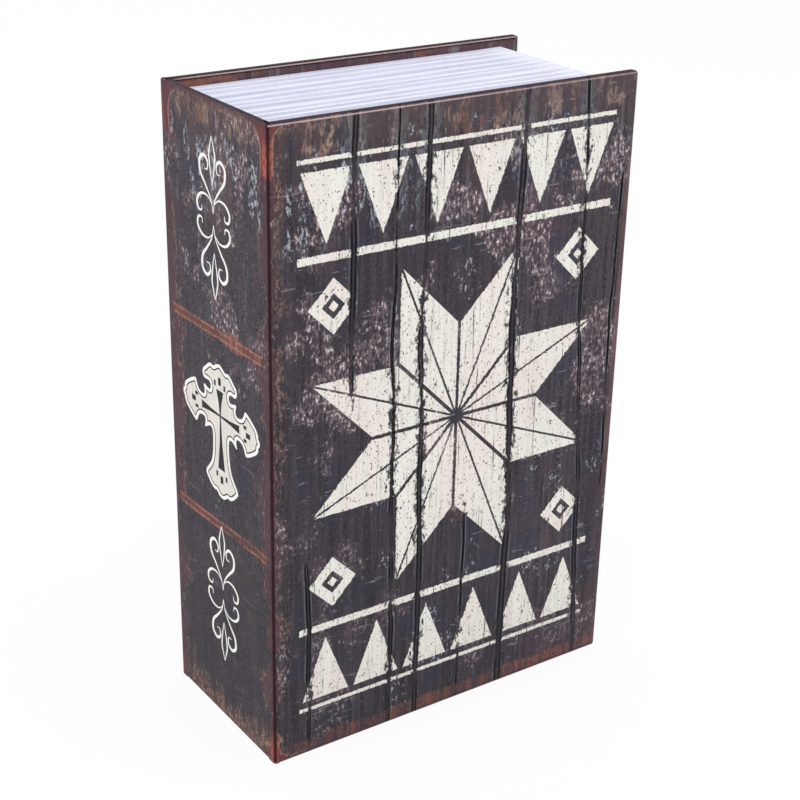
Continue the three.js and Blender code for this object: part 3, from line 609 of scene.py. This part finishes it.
def crossOutline():
    s = crossShape
    side = [s["notch"]] + s["sideArm"] + s["sideEnd"]
    right = s["upEnd"][::-1] + s["upArm"][::-1] + side
    right += [(x, -y) for x, y in side[-2::-1]] + s["downArm"] + s["downEnd"]
    outline = right + [(-x, y) for x, y in right[::-1] if x > 0]
    for _ in range(2):  # cuts the corners off, twice
        cuts = ((a, b, t) for a, b in closed(outline) for t in (0.25, 0.75))
        outline = [(ax + (bx - ax) * t, ay + (by - ay) * t) for (ax, ay), (bx, by), t in cuts]
    return outline


def pushed(outline, distance):  # the outline moved outward, or inward where distance is negative
    count = len(outline)
    moved = []
    area = sum(a[0] * b[1] - b[0] * a[1] for a, b in closed(outline))
    turn = 1 if area > 0 else -1
    for i in range(count):
        before, here, after = (Vector(outline[(i + k) % count]) for k in (-1, 0, 1))
        one, two = (here - before).normalized(), (after - here).normalized()
        normals = [Vector((d.y, -d.x)) * turn for d in (one, two)]
        middle = normals[0] + normals[1]
        middle = middle.normalized() if middle.length > 1e-6 else normals[0]
        stretch = min(1.6, 1 / max(0.4, middle.dot(normals[0])))
        moved.append(tuple(here + middle * distance * stretch))
    return moved


def wedge(x, y, near, far):  # from the middle of the cross to x, y
    end = Vector((x, y))
    along = end.normalized()
    side = Vector((-along.y, along.x))
    halfway = near + (far - near) * 0.3
    corners = [side * near, end / 2 + side * halfway, end + side * far]
    return [tuple(c) for c in corners] + [tuple(2 * along * c.dot(along) - c) for c in reversed(corners)]


def crossMarks():
    s = crossShape
    marks = []
    for x, y, far in s["wedges"]:
        marks += [wedge(sign * x, y, s["waist"], far) for sign in ((1, -1) if x else (1,))]
    for x, y, halfX, halfY in s["blocks"]:
        for sign in ((1, -1) if x else (1,)):
            left, right = sign * x - halfX, sign * x + halfX
            marks.append([(left, y - halfY), (right, y - halfY), (right, y + halfY), (left, y + halfY)])
    return marks


def smoothLine(points, widest):  # a curve through the points, thin at its ends: [(point, half width)]
    ends = [points[0]] + points + [points[-1]]
    line = []
    for i in range(len(points) - 1):
        a, b, c, d = (Vector(q) for q in ends[i:i + 4])
        for step in range(scrolls["steps"]):
            t = step / scrolls["steps"]
            bow = (a * 2 - b * 5 + c * 4 - d) * (t * t / 2)
            line.append(b + (c - a) * (t / 2) + bow + (b * 3 - a - c * 3 + d) * (t ** 3 / 2))
    line.append(Vector(points[-1]))
    thin, last = scrolls["thin"], len(line) - 1
    swell = widest - thin
    return [(q, thin + swell * math.sin(math.pi * i / last) ** 1.5) for i, q in enumerate(line)]


def scrollLines():
    lines = []
    for middle in scrolls["places"]:
        for widest, points in scrolls["strokes"]:
            curve = smoothLine(points, widest)
            for sx, sy in ((1, 1), (-1, 1), (1, -1), (-1, -1)):
                lines.append([(Vector((q.x * sx, middle + q.y * sy)), half) for q, half in curve])
    return lines


def ribbon(line):
    left, right = [], []
    for i, (point, half) in enumerate(line):
        ahead = line[min(i + 1, len(line) - 1)][0] - line[max(i - 1, 0)][0]
        side = Vector((-ahead.y, ahead.x)).normalized() * half
        left.append(tuple(point + side))
        right.append(tuple(point - side))
    return left + right[::-1]


def onLine(point, line):
    for (a, halfA), (b, halfB) in zip(line, line[1:]):
        if abs(point.y - a.y) > scrolls["nearby"]:  # too far off to be measured
            continue
        step = b - a
        t = max(0, min(1, (point - a).dot(step) / step.length_squared))
        if (point - (a + step * t)).length <= halfA + (halfB - halfA) * t + scrolls["slack"]:
            return True
    return False


def spinePiece():
    skin = Skin()
    half, face, height, flat = book["spineHalf"], book["spineFace"], book["height"], book["edgeRound"]
    rings = edgeRings(book["spineThick"])
    section = [(face + depth, height - inset, height - flat + way) for inset, depth, way in rings]
    section += [(face + depth, inset, flat - way) for inset, depth, way in reversed(rings)]
    for (ax, az, av), (bx, bz, bv) in zip(section, section[1:]):  # all but the outer face
        corners = [(ax, half, az), (ax, -half, az), (bx, -half, bz), (bx, half, bz)]
        skin.face(corners, [(-half, av, 0), (half, av, 0), (half, bv, 0), (-half, bv, 0)])
    for y in (half, -half):
        skin.face([(x, y, z) for x, z, _ in section], [(-y, v, 0) for _, _, v in section])

    # the outer face is cut along the drawing on it
    low, high = flat, height - flat
    centre = Vector(crossShape["centre"])
    body = [tuple(Vector(p) + centre) for p in crossOutline()]
    inline = pushed(body, -crossShape["border"])
    field = pushed(body, -crossShape["border"] - crossShape["inline"])
    marks = [[tuple(Vector(p) + centre) for p in mark] for mark in crossMarks()]
    lines = scrollLines()
    outlines = [[(-half, low), (half, low), (half, high), (-half, high)], body, inline, field]
    outlines += marks + [ribbon(line) for line in lines]
    for corners, middle in flatRegions(outlines):
        turn = inside(middle, body)
        onCross = turn != 0
        inField = onCross and inside(middle, field) == turn
        black = onCross and not inField and inside(middle, inline) == turn
        black = black or onCross and any(inside(middle, m) for m in marks)
        white = onCross or any(onLine(middle, line) for line in lines)
        points = [(face, -q.x, q.y) for q in corners]
        sheet = [(q.x, q.y, 0) for q in corners]
        skin.face(points, sheet, 2 * white - inField, 1 if black else 0.05 * inField)
    return skin.made("spinePaper", [paper])


spine = spinePiece()
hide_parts("spine_wrap")
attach(spine, "case")
print("spine ready")


# paper over the two folds
fold = {
    "radius": 1.2, "steps": 8, "single": 2.8,
    "rim": ((0, 0.2, 0.4), (0.1, 0.06, 0.54), (0.3, 0, 0.6)),  # height, outer and inner face at a turned end
}


def foldPiece(name, sign):
    skin = Skin()
    rad, steps = fold["radius"], fold["steps"]
    face, side = book["spineFace"], book["halfDepth"]
    start = side - rad
    path = [(face, book["spineHalf"], 1, 0, book["spineHalf"]), (face, start, 1, 0, start)]
    for step in range(1, steps + 1):
        a = math.pi / 2 * step / steps
        c, s = math.cos(a), math.sin(a)
        path.append((face + rad - rad * c, start + rad * s, c, -s, start + 2 * rad * step / steps))
    path.append((cover["start"], side, 0, -1, side + cover["start"] - face))
    double = fold["rim"][-1][2]
    ends = [*fold["rim"], (fold["single"], 0, double), (fold["single"], 0, book["paper"])]
    levels = ends + [(book["height"] - z, a, b) for z, a, b in ends[::-1]]

    def face4(a, b, one, two):  # between two places of the path, each level as (height, inset)
        corners = ((a, one), (b, one), (b, two), (a, two))
        points = [(x + nx * i, sign * (y + ny * i), z) for (x, y, nx, ny, _), (z, i) in corners]
        skin.face(points, [(-sign * place[4], level[0], 0) for place, level in corners])

    for a, b in zip(path, path[1:]):
        for (za, oa, ia), (zb, ob, ib) in zip(levels, levels[1:]):
            face4(a, b, (za, oa), (zb, ob))
            face4(a, b, (za, ia), (zb, ib))
        for z, outer, inner in (levels[0], levels[-1]):
            face4(a, b, (z, outer), (z, inner))
    for x, y, nx, ny, u in (path[0], path[-1]):
        rim = [(z, o) for z, o, _ in levels] + [(z, i) for z, _, i in reversed(levels)]
        points = [(x + nx * i, sign * (y + ny * i), z) for z, i in rim]
        skin.face(points, [(-sign * u, z, 0) for z, _ in rim])
    return skin.made(name, [paper])


foldFront = foldPiece("foldPaperFront", -1)
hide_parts("front_joint")
foldBack = foldPiece("foldPaperBack", 1)
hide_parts("back_joint")
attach(foldBack, "case")
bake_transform(foldFront)
print("folds ready")


# page block: a moulded shell with eleven bundles of pages on three sides
pages = {
    "spineSide": -54.75, "foreEdge": 50.5, "low": 2.5, "high": 177.5, "front": -24.2, "back": 24.5,
    "ridges": (-19.5, -14.0, -10.4, -6.6, -1.2, 2.6, 6.6, 11.4, 16.6, 20.8),
    "groove": (  # place from the ridge, depth, and painted shade up to the next
        (-1.9, 0.3375, 0.4), (-0.8, 0.675, 1.0), (-0.2, 0.75, 0.5), (0, 0.06, 0.0), (0.7, 0.0, 0.15),
        (1.5, 0.12, 0.3),
    ),
    "waves": ((0.02, 0.09), (0, 6.3), (0.1, 0.35)), "seed": 5,  # rate, phase and size of a line's waves
    "chamfer": 0.8, "cornerWear": 8, "step": 3.0, "wall": 2.0, "rim": 2.0,
    "skirt": 1.2, "skirtDepth": 6.0, "mouthRound": 0.6, "mouthSteps": 3,
    "mouth": (-48.2, 43.5, 10.0, 170.0), "mouthCorners": (0.6, 3.6), "cornerSteps": 6,
    "leaf": (ink(222, 225, 242), ink(238, 240, 252)), "leafLine": ink(190, 193, 212),
    # leafPaintedShade is painted shade for the grooves between the bundles of pages
    "leafStain": ink(240, 240, 246), "leafPaintedShade": ink(158, 160, 186),
    "plastic": (ink(232, 233, 238), ink(218, 219, 227)),
}


def clouded(name, *rows):  # a finish and its clouds, each with stretch, seed, detail and roughness
    f = Finish(name)
    at = f.node("ShaderNodeTexCoord", {}, [], "Object")
    return (f, *(f.cloud(at, *row) for row in rows))


def pagePlastic():
    rows = ((25, 5200, 25), 31, 3, 0.7), ((30, 900, 30), 32, 3, 0.6), ((25, 60, 25), 33, 3, 0.5)
    f, leaf, soft, stain = clouded("pagePlastic", *rows)
    colour = f.blend(f.rise(soft, 0.35, 0.65), *pages["leaf"])
    colour = f.blend(f.rise(leaf, 0.5, 0.72) * 0.5, colour, pages["leafLine"])
    colour = f.blend(f.rise(stain, 0.45, 0.7) * 0.35, colour, pages["leafStain"])
    # painted shade in the grooves between the bundles of pages, carried by the face attribute dark
    colour = f.blend(f.attribute("dark", "Fac") * (0.4 + stain * 0.25), colour, pages["leafPaintedShade"])
    return f.done(colour, 0.5 + soft * 0.12, 0, leaf * 0.6 + soft, 0.12)


def whitePlastic():
    rows = ((1800, 1800, 1800), 34, 2, 0.5), ((40, 40, 40), 35, 4, 0.6)
    f, skinGrain, haze = clouded("whitePlastic", *rows)
    colour = f.blend(f.rise(haze, 0.35, 0.7), *pages["plastic"])
    return f.done(colour, 0.38 + haze * 0.15, 0, skinGrain, 0.02)


mouldedWhite = whitePlastic()


def mouthLine(grow):  # the opening for the tray, wider by grow
    x0, x1, z0, z1 = pages["mouth"]
    left, right = pages["mouthCorners"]
    corners = ((x1, z1, right, 1, 1), (x0, z1, left, -1, 1), (x0, z0, left, -1, -1), (x1, z0, right, 1, -1))
    steps = pages["cornerSteps"]
    points = []
    for index, (x, z, rad, sx, sz) in enumerate(corners):
        reach = rad + grow
        for step in range(steps + 1):
            a = math.pi / 2 * (index + step / steps)
            points.append((x - sx * rad + reach * math.cos(a), z - sz * rad + reach * math.sin(a)))
    return points


def pageBlock():
    g = pages
    skin = Skin()
    rnd = random.Random(g["seed"])
    profile = [(g["front"], 0.0, 0, 0.1)]  # place, depth, number of the line, painted shade up to the next
    for index, ridge in enumerate(g["ridges"], 1):
        profile += [(ridge + off, depth, index, shade) for off, depth, shade in g["groove"]]
    profile.append((g["back"], 0.2, 0, 0))
    waves = [[[rnd.uniform(*span) for span in g["waves"]] for _ in range(3)] for _ in g["ridges"]]

    def lean(index, way):
        if not index:
            return 0
        return sum(size * math.sin(way * rate + phase) for rate, phase, size in waves[index - 1])

    stations = []

    def straight(ax, az, bx, bz, nx, nz):
        count = max(2, round(math.hypot(bx - ax, bz - az) / g["step"]))
        for i in range(count + 1):
            t = i / count
            stations.append((ax + (bx - ax) * t, az + (bz - az) * t, nx, nz))

    far, low, high, chamfer = g["foreEdge"], g["low"], g["high"], g["chamfer"]
    straight(g["spineSide"], low, far - chamfer, low, 0, -1)
    stations.append((far, low, 1, -1))
    straight(far, low + chamfer, far, high - chamfer, 1, 0)
    stations.append((far, high, 1, 1))
    straight(far - chamfer, high, g["spineSide"], high, 0, 1)
    grid, shades = [], []
    way = 0
    for i, (x, z, nx, nz) in enumerate(stations):
        if i:
            way += math.hypot(x - stations[i - 1][0], z - stations[i - 1][1])
        corner = min(math.hypot(far - x, edge - z) for edge in (low, high))
        worn = 0.9 * min(1, corner / g["cornerWear"])
        grid.append([
            (x - nx * depth * worn, y + lean(index, way), z - nz * depth * worn)
            for y, depth, index, _ in profile
        ])
        # the painted shade of the grooves is weaker near the corners of the fore-edge, where they are worn
        # shallow
        shades.append(0.35 + 0.65 * worn)
    for a, b, shade in zip(grid, grid[1:], shades):
        for j in range(len(profile) - 1):
            # each band gets its painted shade as the face attribute dark
            skin.face([a[j], b[j], b[j + 1], a[j + 1]], dark=profile[j][3] * shade)
    skin.face(grid[0] + grid[-1][::-1], slot=1)  # spine side, flat

    def smoothWall(one, ya, two, yb):  # plain plastic between two outlines
        for (a, b), (c, d) in zip(closed(one), closed(two)):
            points = [(a[0], ya, a[1]), (b[0], ya, b[1]), (d[0], yb, d[1]), (c[0], yb, c[1])]
            skin.face(points, slot=1)

    rounding, rimBack = g["mouthRound"], g["front"] + g["rim"]
    mouthRings = []
    for step in range(g["mouthSteps"] + 1):
        a = math.radians(90 / g["mouthSteps"] * step)
        mouthRings.append((rounding * (1 - math.sin(a)), g["front"] + rounding * (1 - math.cos(a))))
    skirtEnd = rimBack + g["skirtDepth"]
    mouthRings += [(0, skirtEnd), (g["skirt"], skirtEnd), (g["skirt"], rimBack)]
    for (growA, ya), (growB, yb) in zip(mouthRings, mouthRings[1:]):
        smoothWall(mouthLine(growA), ya, mouthLine(growB), yb)
    wall = g["wall"]
    left, right, foot, head = g["spineSide"] + wall, far - wall, low + wall, high - wall
    hollow = [(right, head), (left, head), (left, foot), (right, foot)]
    smoothWall(hollow, rimBack, hollow, g["back"])
    front, back = ([(row[j][0], row[j][2]) for row in grid] for j in (0, -1))
    flats = (
        (g["front"], front, mouthLine(rounding)), (rimBack, hollow, mouthLine(g["skirt"])),
        (g["back"], back, hollow),
    )
    for y, outer, inner in flats:
        for corners, _ in flatRegions([outer, inner], lambda m: inside(m, outer) and not inside(m, inner)):
            skin.face([(q.x, y, q.y) for q in corners], slot=1)
    return skin.made("pageBlock", [pagePlastic(), mouldedWhite])


block = pageBlock()
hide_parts("page_shell")
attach(block, "case")
print("page block ready")


# cloth liner behind the front fold, in three pieces: the piece on the spine goes with the case, the piece on
# the cover with the front cover, and the piece over the fold is not attached
liner = {
    "half": 0.1, "low": 3.0, "high": 177.0,
    "path": [(2.35, 10.85), (2.35, 3.15), (0.45, 3.15), (0.45, 1.2)],
    "bend": (1.2, 1.2, 0.75), "bendSteps": 6, "bendFrom": 2,
    "end": [(1.35, 0.45), (1.35, 2.85), (10.35, 2.85)],
    "shades": (ink(92, 36, 38), ink(76, 28, 32)), "thread": ink(118, 60, 58),
}


def liningPaper():
    rows = ((260, 900, 2600), 41, 4, 0.7), ((2400, 900, 300), 42, 4, 0.7), ((30, 30, 30), 43, 4, 0.6)
    f, fibre, cross, cloudy = clouded("liningPaper", *rows)
    colour = f.blend(f.rise(cloudy, 0.35, 0.7), *liner["shades"])
    colour = f.blend(f.rise(fibre + cross * 0.6, 0.85, 1.1) * 0.5, colour, liner["thread"])
    return f.done(colour, 0.62 + cloudy * 0.2, 0, fibre + cross, 0.03, **{"Specular IOR Level": 0.3})


lining = liningPaper()


def linerPieces():
    g = liner
    low, high = g["low"], g["high"]
    path = [Vector(p) for p in g["path"]]
    cx, cy, rad = g["bend"]
    for step in range(1, g["bendSteps"] + 1):
        a = math.pi / 2 * step / g["bendSteps"]
        path.append(Vector((cx - rad * math.cos(a), cy - rad * math.sin(a))))
    path += [Vector(p) for p in g["end"]]
    sides = []
    for i, here in enumerate(path):
        one = (here - path[i - 1]).normalized() if i else (path[1] - here).normalized()
        two = (path[i + 1] - here).normalized() if i < len(path) - 1 else one
        normal = (Vector((-one.y, one.x)) + Vector((-two.y, two.x))).normalized()
        reach = g["half"] / max(0.5, normal.dot(Vector((-one.y, one.x))))
        sides.append((here + normal * reach, here - normal * reach))

    def face(skin, corners):  # each corner as (point of the path, height)
        skin.face([(book["spineFace"] + q.x, q.y - book["halfDepth"], z) for q, z in corners])

    last = len(path) - 1
    first, second = g["bendFrom"], last - g["bendFrom"]
    made = []
    parts = (("linerSpine", 0, first), ("linerFold", first, second), ("linerCover", second, last))
    for name, start, stop in parts:
        skin = Skin()
        part = sides[start:stop + 1]
        for (l0, r0), (l1, r1) in zip(part, part[1:]):
            for m, n in ((l0, l1), (r1, r0)):
                face(skin, [(m, low), (n, low), (n, high), (m, high)])
            for z in (low, high):
                face(skin, [(l0, z), (l1, z), (r1, z), (r0, z)])
        for l, r in (part[0], part[-1]):
            face(skin, [(l, low), (r, low), (r, high), (l, high)])
        made.append(skin.made(name, [lining], 60))
    return made


linerSpine, linerFold, linerCover = linerPieces()
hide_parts("joint_liner")
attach(linerSpine, "case")
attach(linerCover, "front_cover")
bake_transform(linerFold)
print("liner ready")


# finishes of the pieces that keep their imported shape
finishes = {
    "board": (ink(140, 128, 112), ink(112, 102, 90)), "boardBits": ink(82, 76, 70),
    "coat": (ink(30, 30, 32), ink(40, 40, 43)), "coatScuff": ink(78, 78, 82),
    "bright": (ink(208, 207, 203), ink(184, 184, 184)),
    "zinc": (ink(176, 180, 184), ink(146, 150, 156)),
    "weld": 0.000002, "bevelSegments": 2, "bevelAngle": 38,
}


def greyboard():
    rows = ((300, 4500, 300), 51, 4, 0.7), ((1500, 1500, 1500), 52, 4, 0.75)
    f, ply, bits = clouded("greyboard", *rows)
    colour = f.blend(f.rise(ply, 0.35, 0.65), *finishes["board"])
    colour = f.blend(f.rise(bits, 0.6, 0.7) * 0.6, colour, finishes["boardBits"])
    return f.done(colour, 0.8 + bits * 0.1, 0, ply + bits, 0.05)


def blackCoat():
    rows = ((1400, 1400, 1400), 61, 2, 0.5), ((35, 35, 60), 62, 5, 0.6), ((900, 60, 70), 63, 6, 0.7)
    f, peel, haze, scuff = clouded("blackCoat", *rows)
    colour = f.blend(f.rise(haze, 0.4, 0.7), *finishes["coat"])
    colour = f.blend(f.rise(scuff, 0.64, 0.7) * 0.5, colour, finishes["coatScuff"])
    return f.done(colour, 0.36 + haze * 0.2 + f.rise(scuff, 0.6, 0.7) * 0.15, 0, peel, 0.05)


def brightPlate():
    rows = ((700, 9000, 700), 71, 3, 0.6), ((160, 160, 160), 72, 5, 0.6)
    f, turned, stain = clouded("brightPlate", *rows)
    colour = f.blend(f.rise(stain, 0.4, 0.7), *finishes["bright"])
    return f.done(colour, 0.16 + stain * 0.2 + turned * 0.06, 1, turned, 0.008)


def zincPlate():
    rows = ((420, 420, 420), 81, 5, 0.7), ((60, 2500, 2500), 82, 3, 0.6)
    f, bloom, brush = clouded("zincPlate", *rows)
    colour = f.blend(f.rise(bloom, 0.35, 0.7), *finishes["zinc"])
    return f.done(colour, 0.34 + bloom * 0.2, 1, brush + bloom, 0.01)


def dress(material, bevel, names):
    for name in names:
        piece = nodes[name]
        for materialSlot in piece.material_slots:
            materialSlot.material = material
        for face in piece.data.polygons:
            face.use_smooth = True
        piece.modifiers.new("weld", "WELD").merge_threshold = finishes["weld"]
        if bevel:
            rounding = piece.modifiers.new("roundedEdges", "BEVEL")
            rounding.width = bevel * 0.001
            rounding.segments = finishes["bevelSegments"]
            rounding.limit_method = "ANGLE"
            rounding.angle_limit = math.radians(finishes["bevelAngle"])
        piece.modifiers.new("evenShading", "WEIGHTED_NORMAL").keep_sharp = not bevel


dress(greyboard(), 0, ["back_board", "spine_board", "front_board"])
dress(lining, 0, ["back_pastedown", "front_pastedown"])
dress(mouldedWhite, 0.18, ["back_plate"])
dress(blackCoat(), 0.18, ["tray", "lid"])
dress(brightPlate(), 0.15, ["lock_barrel", "lock_plug"])
dress(zincPlate(), 0.12, [
    "hinge_pin", "lock_washer", "lock_nut", "lock_cam", "cam_screw",
    "tray_screw_1", "tray_screw_2", "tray_screw_3", "tray_screw_4",
])
print("finishes ready")


# stage, light and camera, in metres
studio = {
    "camera": (-0.24541, -0.35388, 0.27771), "focal": 1652.2, "picture": 800, "sensor": 36,  # focal in pixels
    "right": (0.82566, -0.56381, 0.02027), "ahead": (0.52214, 0.75005, -0.40596),
    "world": 0.62, "floor": 0.97, "floorGlow": 0.88, "floorReach": 4,
    "lamps": (  # place, height that it aims at, size and power
        ("keyLight", (-0.75, -0.9, 1.1), 0.09, 0.9, 4.6), ("fillLight", (0.9, -0.7, 0.7), 0.09, 1.0, 2.2),
        ("backLight", (0.2, 1.0, 0.9), 0.09, 1.0, 2.2), ("spineLight", (-1.3, 0.1, 0.6), 0.09, 0.8, 2.0),
        ("topLight", (0.0, -0.1, 1.5), 0.18, 1.0, 4.5),
    ),
}


def whiteForCamera(f, shade, glow):
    kinds = ("Is Camera Ray", "Is Glossy Ray", "Is Transmission Ray")
    seen, glossy, through = (f.node("ShaderNodeLightPath", {}, [], kind) for kind in kinds)
    seen = f.most(f.most(seen, glossy), through)
    white = f.node("ShaderNodeEmission", {}, {"Color": (1, 1, 1, 1), "Strength": 1})
    return f.node("ShaderNodeMixShader", {}, [seen * glow, shade, white])


def stage():
    f = Finish("paleFloor")
    pale = (studio["floor"],) * 3 + (1,)
    shade = f.node("ShaderNodeBsdfDiffuse", {}, {"Color": pale, "Roughness": 0.5})
    f.node("ShaderNodeOutputMaterial", {}, {"Surface": whiteForCamera(f, shade, studio["floorGlow"])})
    mesh = bpy.data.meshes.new("floor")
    r = studio["floorReach"]
    mesh.from_pydata([(-r, -r, 0), (r, -r, 0), (r, r, 0), (-r, r, 0)], [], [(0, 1, 2, 3)])
    mesh.materials.append(f.owner)
    floor = placed("floor", mesh)
    scene.world = bpy.data.worlds.new("studioSky")
    sky = Finish("studioSky", scene.world)
    plain = sky.node("ShaderNodeBackground", {}, {"Color": (1, 1, 1, 1), "Strength": studio["world"]})
    sky.node("ShaderNodeOutputWorld", {}, {"Surface": whiteForCamera(sky, plain, 1)})


def lamp(name, place, aim, size, power):
    data = bpy.data.lights.new(name, "AREA")
    data.shape = "DISK"
    data.size = size
    data.energy = power
    made = placed(name, data)
    made.location = place
    made.rotation_euler = (Vector((0, 0, aim)) - Vector(place)).to_track_quat("-Z", "Y").to_euler()


def camera():
    data = bpy.data.cameras.new("camera")
    data.sensor_width = studio["sensor"]
    data.lens = studio["focal"] * studio["sensor"] / studio["picture"]
    made = placed("camera", data)
    right, ahead = Vector(studio["right"]), Vector(studio["ahead"])
    turn = Matrix((right, right.cross(ahead), -ahead)).transposed()
    made.matrix_world = Matrix.Translation(studio["camera"]) @ turn.to_4x4()
    scene.camera = made


stage()
for row in studio["lamps"]:
    lamp(*row)
camera()
scene.view_settings.view_transform = "Standard"
print("stage ready")
